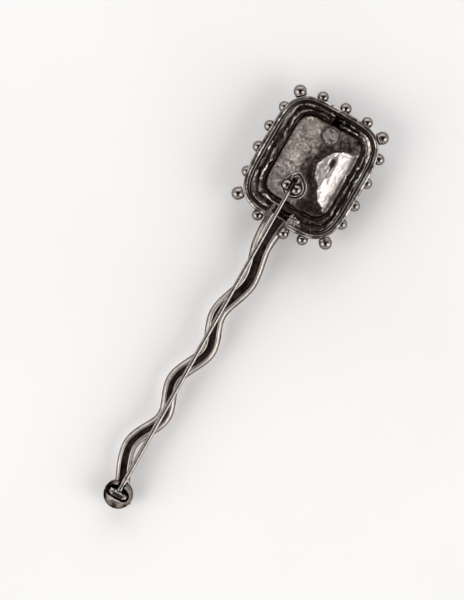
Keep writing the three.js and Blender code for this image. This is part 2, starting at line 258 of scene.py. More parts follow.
def slab(outline, low, high, axis, edge):
    """A plate with rounded edges, from low to high along an axis; its outline is in the two others."""
    outline = np.array(outline, float)
    following = np.roll(outline, -1, 0)
    tangent = unit(following - np.roll(outline, 1, 0))
    inward = np.stack([-tangent[:, 1], tangent[:, 0]], 1)
    if np.sum(outline[:, 0] * following[:, 1] - following[:, 0] * outline[:, 1]) < 0:
        inward = -inward
    rings = [(low + edge * (1 - math.cos(t)), edge * (1 - math.sin(t))) for t in np.radians([0, 30, 60, 90])]
    rings += [(high - (level - low), inset) for level, inset in reversed(rings)]
    verts = np.vstack([np.insert(outline + inward * inset, axis, level, axis=1) for level, inset in rings])
    return verts, capped(len(rings), len(outline))


# ---- materials ----

class Nodes:
    """The node tree of a material or a world, put together node by node."""

    def __init__(self, owner, shader, place):
        owner.use_nodes = True
        self.tree = owner.node_tree
        self.shader = self.tree.nodes[shader]
        self.place = self.node("TexCoord", {}).outputs[place]

    def fill(self, socket, value):
        if isinstance(value, bpy.types.NodeSocket):
            self.tree.links.new(value, socket)
        elif socket.type == "RGBA":
            socket.default_value = (*value, 1)
        else:
            socket.default_value = value

    def node(self, kind, inputs, **settings):
        """A new node with its settings, and its inputs by name or number."""
        node = self.tree.nodes.new("ShaderNode" + kind)
        for key, value in settings.items():
            setattr(node, key, value)
        for key, value in inputs.items():
            self.fill(node.inputs[key], value)
        return node

    def skin(self, **inputs):
        """Fills inputs of the shader, with _ for a space."""
        for key, value in inputs.items():
            self.fill(self.shader.inputs[key.replace("_", " ")], value)

    def scaled(self, place, scale):
        return self.node("Mapping", {"Vector": place, "Scale": scale}).outputs["Vector"]

    def noise(self, scale, detail=4.0, roughness=0.55, stretch=None, distortion=0.0):
        place = self.scaled(self.place, stretch) if stretch else self.place
        return self.node("TexNoise", {"Vector": place, "Scale": scale, "Detail": detail,
                                      "Roughness": roughness, "Distortion": distortion}).outputs["Fac"]

    def ramp(self, source, stops):
        node = self.node("ValToRGB", {"Fac": source})
        elements = node.color_ramp.elements
        while len(elements) < len(stops):
            elements.new(0.5)
        for element, (position, colour) in zip(elements, stops):
            element.position = position
            element.color = (*colour, 1)
        return node.outputs["Color"]

    def mix(self, factor, first, second):
        return self.node("Mix", {0: factor, 6: first, 7: second}, data_type="RGBA").outputs[2]

    def blend_value(self, factor, first, second):
        return self.node("Mix", {0: factor, 2: first, 3: second}).outputs[0]

    def attribute(self, name):
        return self.node("Attribute", {}, attribute_name=name).outputs["Fac"]

    def range(self, source, low, high, to_low, to_high):
        return self.node("MapRange", {"Value": source, "From Min": low, "From Max": high,
                                      "To Min": to_low, "To Max": to_high}).outputs["Result"]

    def bump(self, layers):
        """layers is a list of (height, distance in millimetres, strength)."""
        normal = {}
        for height, distance, strength in layers:
            inputs = {"Height": height, "Distance": distance * MM, "Strength": strength}
            normal = {"Normal": self.node("Bump", inputs | normal).outputs["Normal"]}
        self.skin(**normal)


class Surface(Nodes):
    """A principled material, with its patterns in millimetres."""

    def __init__(self, name):
        self.material = bpy.data.materials.new(name)
        super().__init__(self.material, "Principled BSDF", "Object")
        self.place = self.scaled(self.place, (1 / MM,) * 3)

    def oxidised(self):
        """Metal whose reflection stays dark at grazing angles."""
        self.skin(Metallic=1.0, Specular_Tint=(0.3, 0.26, 0.24))


def cast_metal():
    """Dark plated casting: satin skin with grain, patina in the hollows with painted shade added, matte
    places, and polished places with painted highlights added.
    """
    m = Surface("cast_metal")
    m.oxidised()
    mottle = m.noise(0.5, 6, 0.62, distortion=0.6)
    blotch = m.noise(1.3, 5, 0.65, distortion=0.9)
    grain = m.noise(5.5, 5, 0.6)
    pores = m.noise(14.0, 3, 0.5)
    base = m.ramp(mottle, [(0.3, (0.13, 0.11, 0.096)), (0.5, (0.29, 0.252, 0.225)),
                           (0.72, (0.5, 0.445, 0.405))])
    matte = m.ramp(blotch, [(0.32, (0.22, 0.182, 0.155)), (0.5, (0.48, 0.42, 0.375)),
                            (0.68, (0.72, 0.66, 0.61))])
    toned = m.mix(m.attribute("matte"), base, matte)
    # lighter where polish_and_highlight is set: worn polished ridges, and painted highlights
    bright = m.mix(m.attribute("polish_and_highlight"), toned, (0.9, 0.85, 0.8))
    # darker where patina_and_shade is set: patina, and painted shade
    darkened = m.mix(m.attribute("patina_and_shade"), bright, (0.042, 0.029, 0.023))
    satin = m.range(grain, 0.3, 0.7, 0.22, 0.4)
    dull = m.range(blotch, 0.3, 0.7, 0.38, 0.6)
    m.skin(Base_Color=darkened, Roughness=m.blend_value(m.attribute("matte"), satin, dull))
    m.bump([(grain, 0.05, 0.4), (mottle, 0.3, 0.3), (pores, 0.02, 0.3)])
    return m.material


def bead_metal():
    """Polished dark plating, with faint orange peel."""
    m = Surface("bead_metal")
    m.oxidised()
    cloud = m.noise(1.1, 4, 0.6)
    fine = m.noise(7.0, 3, 0.5)
    base = m.ramp(cloud, [(0.3, (0.17, 0.151, 0.138)), (0.7, (0.3, 0.27, 0.248))])
    # painted shade: darker where patina_and_shade is set, on each ball's lower half and over the tail ball
    darkened = m.mix(m.attribute("patina_and_shade"), base, (0.03, 0.022, 0.018))
    m.skin(Base_Color=darkened, Roughness=m.range(fine, 0.3, 0.7, 0.08, 0.18))
    m.bump([(cloud, 0.05, 0.15), (fine, 0.008, 0.15)])
    return m.material


def wire_metal():
    """Drawn and turned fittings, with fine lines along the needle."""
    m = Surface("wire_metal")
    m.oxidised()
    lines = m.noise(3.0, 4, 0.6, stretch=(6.0, 0.15, 6.0))
    cloud = m.noise(0.8, 4, 0.6)
    base = m.ramp(cloud, [(0.3, (0.24, 0.218, 0.2)), (0.7, (0.4, 0.368, 0.342))])
    m.skin(Base_Color=base, Roughness=m.range(lines, 0.3, 0.7, 0.16, 0.32))
    m.bump([(lines, 0.01, 0.2)])
    return m.material


def stone_glass():
    """Smoke-grey cut glass with a foil back."""
    m = Surface("stone_glass")
    haze = m.noise(0.25, 3, 0.5)
    tint = m.ramp(haze, [(0.3, (0.2, 0.215, 0.225)), (0.7, (0.42, 0.44, 0.46))])
    m.skin(Base_Color=tint, Roughness=m.range(haze, 0.3, 0.7, 0.0, 0.03), Transmission_Weight=0.9, IOR=1.6)
    return m.material


CAST = cast_metal()
BEAD = bead_metal()
WIRE = wire_metal()
GLASS = stone_glass()


# ---- the head's cushion outline ----

GRID = 96  # squares along each side of the floor's grid; every ring has four times as many points


def square_border():
    """Grid indices round the border of the floor's grid, anticlockwise."""
    steps = range(GRID)
    return ([(i, 0) for i in steps] + [(GRID, j) for j in steps]
            + [(GRID - i, GRID) for i in steps] + [(0, GRID - j) for j in steps])


def cushion(half_width):
    """Half sizes and corner power of the ring that is half_width out from the centre line."""
    extra = HALF_LENGTH - HALF_WIDTH
    out = max(0.0, (half_width - FLOOR_HALF) / (HALF_WIDTH - FLOOR_HALF))
    power = FLOOR_POWER + (CORNER_POWER - FLOOR_POWER) * min(out, 1.1)
    if half_width <= FLOOR_HALF:
        return half_width, half_width * (FLOOR_HALF + extra) / FLOOR_HALF, power
    return half_width, half_width + extra, power


BORDER = square_border()
BORDER_X, BORDER_Y = (np.array(BORDER, float) * 2 / GRID - 1).T
BORDER_ANGLES = np.arctan2(BORDER_Y * cushion(FLOOR_HALF)[1], BORDER_X * cushion(FLOOR_HALF)[0])


def reach(half_width, angles):
    """Distance from the centre out to a ring, at angles."""
    across, along, power = cushion(half_width)
    total = np.abs(np.cos(angles) / across) ** power + np.abs(np.sin(angles) / along) ** power
    return total ** (-1 / power)


def shift_of(half_width):
    """How far the back's rings lie off the head's centre: not at all at the wall, fully at the floor."""
    wall = HALF_WIDTH - SHELL_INSET
    return np.array(FLOOR_SHIFT) * np.clip((wall - half_width) / (wall - FLOOR_HALF), 0, 1)


def head_ring(half_width, z, angles=BORDER_ANGLES, back=True):
    """One ring of points round the head, in millimetres."""
    distance = reach(half_width, angles)
    shift = shift_of(half_width) if back else (0.0, 0.0)
    x = HEAD[0] + distance * np.cos(angles) + shift[0]
    y = HEAD[1] + distance * np.sin(angles) + shift[1]
    return at_height(x, y, z)


# ---- floor relief of the hollow back ----

# Outlines are from the head's centre: the valley across the floor, painted dark as shade, and the raised
# panel beside it, polished and painted bright as a highlight.
VALLEY = [(6.9, 9.6), (4.2, 8.6), (2.2, 6.9), (0.4, 4.2), (-0.5, 1.4), (-0.2, -1.0), (1.6, -3.6), (4.0, -6.6),
          (8.0, -8.8)]
PANEL = [(5.6, 7.6), (7.3, 7.8), (8.75, 8.7), (8.9, -7.5), (8.2, -7.7), (5.6, -6.3), (4.2, -4.7), (3.4, -2.8),
         (1.9, -1.4), (0.9, 0.4), (0.65, 1.8), (1.4, 3.6), (2.4, 5.3), (3.8, 6.7)]
PANEL_RIDGE = 4.7  # x of the crest, where the panel stands PANEL_RISE over the floor
PANEL_RISE = 0.85
PANEL_SLOPE = 0.38  # fall beyond the crest
PANEL_SOFT = 0.25  # half width of the panel's soft edge


def distance_to_line(x, y, line):
    """Distance of points to the nearest stretch of an open line."""
    best = np.full(x.shape, 1e9)
    for (ax, ay), (bx, by) in zip(line[:-1], line[1:]):
        dx, dy = bx - ax, by - ay
        t = np.clip(((x - ax) * dx + (y - ay) * dy) / (dx * dx + dy * dy), 0, 1)
        best = np.minimum(best, np.hypot(x - ax - t * dx, y - ay - t * dy))
    return best


def inside_polygon(x, y, corners):
    inside = np.zeros(x.shape, bool)
    for (ax, ay), (bx, by) in zip(corners, corners[1:] + corners[:1]):
        crosses = (ay > y) != (by > y)
        at = ax + (y - ay) / np.where(by == ay, 1e-9, by - ay) * (bx - ax)
        inside ^= crosses & (x < at)
    return inside


def panel_mask(x, y):
    """1 on the panel and 0 off it, and the distance in from its edge; the edge is wavy."""
    wave = noise_at(at_height(x, y), 0.6, 4, 51.0)
    x, y = x + 0.35 * wave, y + 0.35 * np.roll(wave, 3)
    edge = distance_to_line(x, y, PANEL + PANEL[:1])
    signed = np.where(inside_polygon(x, y, PANEL), edge, -edge)
    return smoothstep(signed, -PANEL_SOFT, PANEL_SOFT), signed


def bump_at(x, y, centre, radii, power=2):
    """A soft hill of height 1; a higher power gives it a flatter top and steeper sides."""
    across, along = (x - centre[0]) / radii[0], (y - centre[1]) / radii[1]
    return np.exp(-(np.abs(across) ** power + np.abs(along) ** power))


def floor_relief(points):
    """Height of the rough casting over the flat floor, with its skin: patina with painted shade, polish with
    painted highlights, and matte.
    """
    x = points[:, 0] - HEAD[0]
    y = points[:, 1] - HEAD[1]
    flat = at_height(x, y)
    slow = noise_at(flat, 0.3, 3, 3.0)
    lumps = noise_at(flat, 0.75, 4, 9.0)
    valley = np.exp(-(distance_to_line(x, y, VALLEY) / 1.7) ** 2)
    core = np.exp(-(distance_to_line(x, y, VALLEY) / 0.9) ** 2)
    pool = bump_at(x, y, (5.6, -9.3), (3.9, 2.0), 4)
    panel, signed = panel_mask(x, y)
    left = smoothstep(-x, -1.6, 1.6)
    plain = 0.22 * left + 0.3 * slow + 0.14 * lumps - 0.15 * valley - 0.2 * core - 0.35 * pool
    plain -= 0.45 * bump_at(x, y, (-6.1, 10.4), (0.55, 0.4))
    ridge = PANEL_RIDGE + 0.3 * np.sin(0.7 * y) + 0.25 * lumps
    near_edge = 0.1 * np.clip(signed, 0, 0.9) - 0.1 * np.clip(signed - 0.9, 0, 1.6)
    near_edge += 0.16 * np.sin(4.6 * signed + lumps * 2.5) * np.exp(-np.clip(signed, 0, 9) / 1.3)
    before = smoothstep(ridge - x, -0.1, 0.5)
    dent = bump_at(x, y, (4.05, 3.75), (0.75, 1.1), 4) + 0.6 * bump_at(x, y, (4.3, 2.2), (0.35, 1.4))
    fold = np.sin(2.4 * x + 1.3 * y) * bump_at(x, y, (3.0, -2.2), (1.3, 2.4))
    raised = PANEL_RISE + near_edge * before - PANEL_SLOPE * np.clip(x - ridge, 0, 9)
    upright = noise_at(flat * (1.7, 0.45, 1), 0.8, 4, 47.0)
    raised += 0.08 * fold - 0.4 * dent + 0.1 * slow + 0.05 * upright
    height = plain * (1 - panel) + raised * panel
    # painted shadow along the foot of the raised panel's edge
    edge_shadow = np.exp(-((signed + 0.3) / 0.4) ** 2) * smoothstep(-y, -8.0, -6.0)
    toward_centre = 0.4 * smoothstep(x, -4.5, 0.5)
    blotches = 0.5 * smoothstep(lumps + 0.6 * slow, -0.1, 0.8)
    crotch = bump_at(x, y, (-0.5, -0.4), (1.3, 3.0)) + 0.7 * bump_at(x, y, (0.3, 3.6), (0.9, 2.6))
    # painted shade: the valley, its crotch and the pool are darkened; the blotches are the casting's own tone
    road = valley * (0.5 + 0.35 * lumps) + 0.45 * crotch
    patina_and_shade = np.clip(road + pool + 0.5 * edge_shadow + toward_centre + blotches, 0, 0.97) * (1 - panel)
    patina_and_shade += np.clip(1.4 * dent + 0.5 * blotches * before, 0, 0.98) * panel
    # the raised panel is polished and painted bright as a highlight; its dents are darkened with patina
    polish_and_highlight = panel * (1 - np.clip(dent, 0, 1)) * (0.9 + 0.25 * lumps)
    # the valley's core and the pool also lose some of the lighter matte tone, deepening their painted shade
    matte = np.clip((1 - 0.5 * core) * (1 - 0.55 * panel) * (1 - 0.6 * pool), 0, 1)
    return height, patina_and_shade, polish_and_highlight, matte


# Section of the back's moulded border, as (inset from the outline, z), first steep and then gentle.
BACK = [
    ((1.65, 3.8), (1.65, 3.8)), ((1.65, 7.7), (1.65, 7.7)), ((1.75, 8.0), (1.75, 8.0)),
    ((2.0, 8.12), (2.0, 8.1)), ((2.45, 8.12), (2.15, 8.1)), ((2.7, 7.98), (3.0, 7.6)),
    ((2.8, 7.6), (3.1, 7.45)), ((2.87, 7.1), (3.12, 6.95)), ((3.05, 6.98), (3.2, 6.82)),
    ((3.2, 7.06), (3.3, 6.95)), ((3.5, 7.12), (3.45, 6.98)), ((3.9, 7.05), (4.25, 6.5)),
    ((4.15, 6.75), (4.38, 6.35)), ((4.2, 6.1), (4.42, 5.95)), ((4.38, 6.2), (4.5, 5.95)),
    ((4.6, 6.05), (4.6, 5.85)), ((4.7, 5.5), (4.7, 5.5)), ((4.8, 5.0), (4.8, 5.0)),
]
GROOVES = (1.7, 2.95, 4.2, 4.78)  # insets of the grooves, darkened with patina and painted shade, and of the polished ridges
RIDGES = (2.2, 3.75)
SEAM = (0.15, 13.7)  # sunken joint at the far end, painted dark inside, from the head's centre


def near_any(value, places, width):
    """1 where a value is at any of the places, falling to 0 beyond the width."""
    return np.max([np.exp(-((value - place) / width) ** 2) for place in places], axis=0)


def moulding(angles):
    """Rings of the moulded border, with their insets: steep, but gentler at two opposite corners."""
    steep, gentle = (rounded([pair[k] for pair in BACK])[1:-1] for k in (0, 1))
    turn = np.degrees(angles) % 360
    share = np.exp(-((turn - 52) / 17) ** 4) + np.exp(-((turn - 232) / 15) ** 4) * 0.8
    step = 0.5
    rings, insets = [], []
    for (inset_a, z_a), (inset_b, z_b) in zip(steep, gentle):
        inset = inset_a + (inset_b - inset_a) * share
        outer, inner = head_ring(HALF_WIDTH - inset_a, 0), head_ring(HALF_WIDTH - inset_a - step, 0)
        ring = outer + (inner - outer) * ((inset - inset_a) / step)[:, None]
        ring[:, 2] = z_a + (z_b - z_a) * share
        rings.append(ring)
        insets.append(inset)
    return rings, insets


def rough_border(points, inset):
    """Uneven hand finishing of the border, and the sunken seam at its far end; gives patina with painted
    shade, and polish with painted highlights.
    """
    x = points[:, 0] - HEAD[0]
    y = points[:, 1] - HEAD[1]
    level = points * (1, 1, 0)
    almost_level = points * (1, 1, 0.3)
    turn = np.arctan2(y, x)
    slow = noise_at(level, 0.28, 3, 5.0)
    quick = noise_at(almost_level, 1.1, 4, 11.0)
    streak = noise_at(np.stack([np.cos(turn) * 9, np.sin(turn) * 9, inset * 7], 1), 0.33, 4, 61.0)

    pit = bump_at(x, y, SEAM, (0.95, 2.3), 6)
    throat = bump_at(x, y, (0.2, -13.5), (1.5, 0.9), 4)
    around = bump_at(x, y, (0.3, 13.2), (3.3, 2.4), 4) + 0.6 * bump_at(x, y, (0, -13.5), (6.0, 2.0), 4)
    # painted shade over a patch of the border beside where the stem enters, with no hollow modelled under it
    corner_shade = bump_at(x, y, (3.4, -11.8), (5.5, 1.9), 4)
    sunk = around * quick * 0.95 - pit * 2.1 - throat * 0.9
    top_only = smoothstep(inset, SHELL_INSET + 0.01, SHELL_INSET + 0.17)
    points[:, 2] += (0.2 * slow + 0.1 * quick + 0.16 * streak + sunk) * top_only
    wander = 0.38 * smoothstep(inset, 1.9, 2.6) * smoothstep(-inset, -4.75, -4.2)
    for axis, seed in ((0, 33.0), (1, 37.0)):
        points[:, axis] += wander * noise_at(points * (1, 1, 0.3), 0.45, 4, seed)

    # painted highlight: a broad bright band on the gentle slope at one corner
    broad_highlight = np.exp(-((np.degrees(turn) - 50) / 15) ** 4) * (inset > 2.3) * (inset < 3.4)
    polish_and_highlight = near_any(inset, RIDGES, 0.2) * smoothstep(streak - 0.4 * quick, -0.05, 0.4) + 0.75 * broad_highlight
    knots = bump_at(x, y, (-0.6, 12.9), (2.8, 2.2), 4) * smoothstep(quick, -0.05, 0.25)
    knots *= 1 - np.clip(pit * 1.3, 0, 1)
    polish_and_highlight = np.clip(np.clip(polish_and_highlight - corner_shade, 0, 1) + 0.9 * knots, 0, 1)
    band = np.exp(-((inset - 3.65) / 0.4) ** 4)
    # patina, with the grooves deepened as painted shade; the sunken pit and throat are painted dark
    patina_and_shade = 0.72 - 0.35 * band + near_any(inset, GROOVES, 0.3) * 0.8 + pit + throat + 0.5 * corner_shade
    patina_and_shade += 0.45 * smoothstep(quick - 0.8 * streak, -0.1, 0.4)
    patina_and_shade *= 1 - 0.9 * polish_and_highlight
    return np.clip(patina_and_shade, 0, 0.97), np.clip(polish_and_highlight * (1 - pit), 0, 1)


def head_shell():
    """Cast shell: moulded border and rough floor at the back, a plain seat for the stone at the front."""
    under_stone = STONE_HIGH[2] + 0.1
    seat = from_level(SHELL_FRONT, [(0.62, 0.95), (0.7, 0.85), (1.03, 0.7), (1.05, 0)])
    wall = [(SHELL_INSET + x, z) for x, z in [(0, 3.8), (0.05, 3.7), (0.6, 3.5)] + seat]
    front = rounded(wall + [(3.0, SHELL_FRONT), (3.0, under_stone)], 1)
    count = len(BORDER)
    rings = [head_ring(HALF_WIDTH - inset, z, back=False) for inset, z in front[::-1]]
    back_rings, insets = moulding(BORDER_ANGLES)
    verts = np.vstack(rings + back_rings)
    faces = loft_faces(len(rings) + len(back_rings), count)

    steps = np.arange(GRID + 1) * 2 / GRID - 1
    u, v = (a.ravel() for a in np.meshgrid(steps, steps, indexing="ij"))
    size = np.maximum(np.abs(u), np.abs(v))
    safe = np.maximum(size, 1e-9)
    across, along, _ = cushion(FLOOR_HALF)
    angles = np.arctan2(v / safe * along, u / safe * across)
    distance = size * reach(FLOOR_HALF, angles)
    x = HEAD[0] + distance * np.cos(angles) + FLOOR_SHIFT[0]
    y = HEAD[1] + distance * np.sin(angles) + FLOOR_SHIFT[1]
    floor_points = at_height(x, y, FLOOR_BACK)
    start = len(verts)
    verts = np.vstack([verts, floor_points])

    def at(i, j):
        return start + i * (GRID + 1) + j

    for i in range(GRID):
        faces += [(at(i, j), at(i + 1, j), at(i + 1, j + 1), at(i, j + 1)) for j in range(GRID)]
    last = start - count
    for n, (i, j) in enumerate(BORDER):
        k = (n + 1) % count
        faces.append((last + n, last + k, at(*BORDER[k]), at(i, j)))
    pole = len(verts)
    verts = np.vstack([verts, [[HEAD[0], HEAD[1], under_stone]]])
    faces += [(pole, n, (n + 1) % count) for n in range(count)]

    inner = 1 - smoothstep(size, 0.965, 1.0)
    height, patina_and_shade, polish_and_highlight, matte = floor_relief(floor_points)
    verts[start:pole, 2] += height * inner
    skins = np.zeros((3, len(verts)))
    # patina and painted shade: the floor darkens where it meets the border
    skins[0, start:pole] = patina_and_shade * inner + (1 - inner) * 0.9
    skins[1, start:pole] = polish_and_highlight * inner
    skins[2, start:pole] = matte * inner
    border = slice(len(front) * count, start)
    skins[0, border], skins[1, border] = rough_border(verts[border], np.concatenate(insets))
    obj = piece("head_casting", verts, faces, CAST, "head_shell", angle=50)
    paint(obj, verts, *skins)


head_shell()


# ---- stem ----

# The stem's middle line in plan, at the crests of its bends.
STEM_BENDS = [(-1.3, -52.0), (-4.76, -41.3), (-0.98, -31.6), (-3.29, -22.3), (0.41, -12.1),
              (-2.0, -3.05), (0.61, 7.45), (-1.0, 17.2), (-0.85, 24.77)]
STEM_HEAD_X, STEM_END = STEM_BENDS[-1]
STEM_TAIL_Z, STEM_HEAD_Z = 3.3, 5.0
STEM_R = (1.8, 2.2, 3.0)  # outer radius at the tail, at the last bend and at the head
STEM_BORE = 0.62  # share of the outer radius


def spline(points, count):
    """A smooth line through points, with even steps (centripetal Catmull-Rom)."""
    p = np.array(points, float)
    p = np.vstack([2 * p[0] - p[1], p, 2 * p[-1] - p[-2]])
    line = []
    for i in range(1, len(p) - 2):
        near = p[i - 1:i + 3]
        knots = np.cumsum([0, *np.linalg.norm(np.diff(near, axis=0), axis=1) ** 0.5])
        for t in np.linspace(knots[1], knots[2], 60, endpoint=i == len(p) - 3):
            def between(a, b, first, last):
                return ((knots[last] - t) * a + (t - knots[first]) * b) / (knots[last] - knots[first])
            once = [between(near[k], near[k + 1], k, k + 1) for k in range(3)]
            twice = [between(once[k], once[k + 1], k, k + 2) for k in range(2)]
            line.append(between(*twice, 1, 2))
    line = np.array(line)
    lengths = np.cumsum([0, *np.linalg.norm(np.diff(line, axis=0), axis=1)])
    wanted = np.linspace(0, lengths[-1], count)
    return np.stack([np.interp(wanted, lengths, along) for along in line.T], 1)


def stem_z(y):
    return STEM_TAIL_Z + (STEM_HEAD_Z - STEM_TAIL_Z) * (y - BALL[1]) / (STEM_END - BALL[1])


def stem_radius(y):
    tail, bend, head = STEM_R
    plain = tail + (bend - tail) * smoothstep(y, -32, 8)
    return plain + (head - plain) * smoothstep(y, 11, 24)


def channel_section(mouth):
    """C-shaped section of unit radius, its mouth (half angle in degrees) toward +Z, with rolled lips."""
    middle_r, lip_r = (1 + STEM_BORE) / 2, (1 - STEM_BORE) / 2
    left, right = 90 + mouth, 90 - mouth
    outer = arc(1.0, right, left - 360, 29)
    inner = arc(STEM_BORE, left - 356, right - 4, 21)

    def lip(at, start):
        turn = math.radians(at)
        return arc(lip_r, start, start - 180, 7, (middle_r * math.cos(turn), middle_r * math.sin(turn)))[1:-1]

    return np.array(outer + lip(left, left) + inner + lip(right, right + 180))


def stem():
    """Serpentine channel, open at the back, from inside the tail ball to the head's wall."""
    centre = spline([(x, y, stem_z(y)) for x, y in STEM_BENDS], 260)
    tangent = unit(np.gradient(centre, axis=0))
    side = unit(np.stack([tangent[:, 1], -tangent[:, 0], np.zeros(len(tangent))], 1))
    up = np.cross(side, tangent)
    widened = 9 * smoothstep(centre[:, 1], -25, 15) + 10 * smoothstep(-centre[:, 1], 38, 46)
    sections = np.array([channel_section(mouth) for mouth in 40 + widened])
    across, height = (stem_radius(centre[:, 1])[:, None] * sections[:, :, k] for k in (0, 1))
    rings = centre[:, None] + side[:, None] * across[..., None] + up[:, None] * height[..., None]
    inside_ball = np.linalg.norm(centre - BALL, axis=1) < BALL_R - 0.5
    rings, sections = rings[~inside_ball], sections[~inside_ball]
    verts = rings.reshape(-1, 3)
    verts[:, 1] = np.minimum(verts[:, 1], STEM_END)
    verts += (noise_at(verts, 0.3, 3, 2.0) * 0.05)[:, None]
    across, height = sections.reshape(-1, 2).T
    groove = np.hypot(across, height) < 0.75
    # painted shade: the groove darkens toward its depth (low) and both flanks darken (flank_shade); grime is
    # random dirt
    low = smoothstep(-height, -0.45, 0.45)
    grime = smoothstep(noise_at(verts, 0.5, 4, 6.0), 0.0, 0.6)
    flank_shade = 0.85 * smoothstep(np.abs(across), 0.8, 0.98)
    patina_and_shade = np.where(groove, 0.15 + 0.45 * low + 0.35 * grime, flank_shade + 0.25 * grime)
    obj = piece("stem", verts, capped(*sections.shape[:2]), CAST, "stem_channel", angle=60)
    paint(obj, verts, np.clip(patina_and_shade, 0, 1), np.where(groove, 0.0, 0.35), np.where(groove, 0.5, 0.0))


stem()


# ---- rim ----

def rim():
    """Outer frame with a rolled lip, open where the stem enters it."""
    foot = from_level(RIM_LOW[2], [(1.55, 0.4), (1.5, 0), (0.95, 0), (0.85, 0.1), (0.85, 0.8), (0.75, 1.05),
                                   (0.08, 1.25), (0, 1.4)])
    lip = from_level(RIM_TOP, [(0, -0.75), (0.02, -0.35), (0.2, -0.08), (0.5, 0), (0.85, -0.02), (1.1, -0.2),
                               (1.2, -0.6), (1.28, -0.95), (1.42, -1.0), (1.55, -1.0), (1.58, -1.15)])
    profile = rounded(foot + lip + foot[:1])[:-1]
    half_opening = STEM_R[2] + 0.1
    start = math.atan2(-HALF_LENGTH, STEM_HEAD_X + half_opening)
    end = math.atan2(-HALF_LENGTH, STEM_HEAD_X - half_opening) + 2 * math.pi
    angles = np.linspace(start, end, 420)
    grid = np.array([head_ring(HALF_WIDTH - inset, z, angles, back=False) for inset, z in profile])
    verts = grid.transpose(1, 0, 2).reshape(-1, 3)
    lumps = noise_at(verts, 0.4, 3, 8.0) * 0.09 + noise_at(verts, 1.5, 3, 14.0) * 0.03
    seam = bump_at(verts[:, 0] - HEAD[0], verts[:, 1] - HEAD[1], (0.0, 14.8), (1.2, 1.0))
    verts[:, 2] = np.minimum(verts[:, 2] + lumps - seam * 0.35, RIM_TOP)
    obj = piece("rim", verts, capped(len(angles), len(profile)), CAST, "rim_frame", angle=50)
    inset = np.tile(profile[:, 0], len(angles))
    crest = np.exp(-((inset - 0.5) / 0.45) ** 2) * (verts[:, 2] > RIM_TOP - 0.5)
    worn = smoothstep(noise_at(verts, 0.5, 4, 19.0), -0.3, 0.4)
    # painted shade: the rim's walls below the lip and its inner side are darkened; worn is the crest's real
    # rubbing
    wall = 0.8 * (verts[:, 2] < RIM_TOP - 0.45)
    paint(obj, verts, np.where(inset > 1.1, 0.95, wall + 0.5 * (1 - worn)), 0.75 * crest * worn)


rim()


# ---- beads ----

def sphere_profile(radius, neck, flare, depth):
    """A ball from its outer pole to a flared neck of solder at -neck, then depth further in."""
    start = math.degrees(math.asin(min(neck / radius, 0.98)))
    edge = math.sqrt(max(radius ** 2 - neck ** 2, 0.01))
    tail = [(edge + 0.25 * flare, -neck - 0.02), (edge + flare, -neck - 0.12),
            (edge * 0.9, -neck - depth), (0, -neck - depth)]
    ball = [(x, z) for z, x in arc(radius, 0, 90 + start - 14, 26)]
    return rounded([(0.0, radius)] + ball[1:] + tail, 1)


def bead(name, node, radius, out):
    """One soldered ball; out is the direction away from the rim."""
    low, high = cad(node)
    centre = (low + high) / 2
    out = unit(np.array([out[0], out[1], 0.0]))
    centre = np.where(out > 0.3, high - radius, np.where(out < -0.3, low + radius, centre))
    neck = SIDE_NECK if abs(out[0]) > 0.9 else END_NECK
    verts, faces = turned(sphere_profile(radius, neck, 0.16, 0.5), 40, out, centre)
    verts += (noise_at(verts, 0.7, 2, centre[0]) * 0.02)[:, None]
    obj = piece(name, verts, faces, BEAD, node, angle=0)
    height = np.array([vertex.co.z for vertex in obj.data.vertices]) / MM
    # painted shade: each ball darkens toward its lower half
    store(obj, "patina_and_shade", 0.95 * smoothstep(centre[2] + 0.5 * radius - height, 0, radius))


for n in range(1, 5):
    bead(f"right_ball_{n}", f"right_bead_{n}", SMALL_BEAD, (1, 0))
    bead(f"left_ball_{n}", f"left_bead_{n}", SMALL_BEAD, (-1, 0))
for n, (sx, sy) in enumerate([(-1, 1), (1, 1), (1, -1), (-1, -1)], 1):
    bead(f"corner_ball_{n}", f"corner_bead_{n}", CORNER_BEAD, (sx * 0.7, sy * 0.72))
for n in range(1, 4):
    bead(f"end_ball_{n}", f"end_bead_{n}", SMALL_BEAD, (0, 1))
    bead(f"stem_side_ball_{n}", f"stem_side_bead_{n}", SMALL_BEAD, (0, -1))


# ---- plaque ----

def plaque():
    """Blank oval plate: a rolled border, a groove, and a worn field."""
    low, high = cad("oval_plaque")
    centre, half = (low + high) / 2, (high - low) / 2
    edge, top = half[0], half[2]
    profile = rounded([
        (0, -top), (edge, -top), (edge, top - 0.25), (edge - 0.05, top - 0.04), (edge - 0.18, top),
        (edge - 0.32, top - 0.04), (edge - 0.42, top - 0.22), (edge - 0.6, top - 0.24),
    ])
    field_rings = [((edge - 0.6) * (1 - t), top - 0.22) for t in np.linspace(0.06, 1, 16)]
    verts, faces = lathe(np.vstack([profile, field_rings]), 96)
    out = np.hypot(verts[:, 0], verts[:, 1])
    verts[:, 1] *= half[1] / half[0]
    field = np.hypot(verts[:, 0], verts[:, 1]) < edge - 0.5
    streaks = noise_at(verts * (0.6, 1.5, 1), 1.2, 4, 30.0)
    verts[:, 2] += np.where(field & (verts[:, 2] > 0), streaks * 0.09, 0)
    verts += centre
    obj = piece("blank_plaque", verts, faces, CAST, "oval_plaque", slot="bead_metal", angle=0)
    worn = np.where(field, 0.7 * smoothstep(streaks, -0.05, 0.4), 0.62)
    patina_and_shade = np.clip(worn + 0.9 * near_any(out, (edge - 0.55,), 0.14), 0, 1)
    paint(obj, verts, patina_and_shade, np.where(field, 0.2, 0), np.where(field, 0.9, 0.3))


plaque()


# ---- front: bezel and stone ----

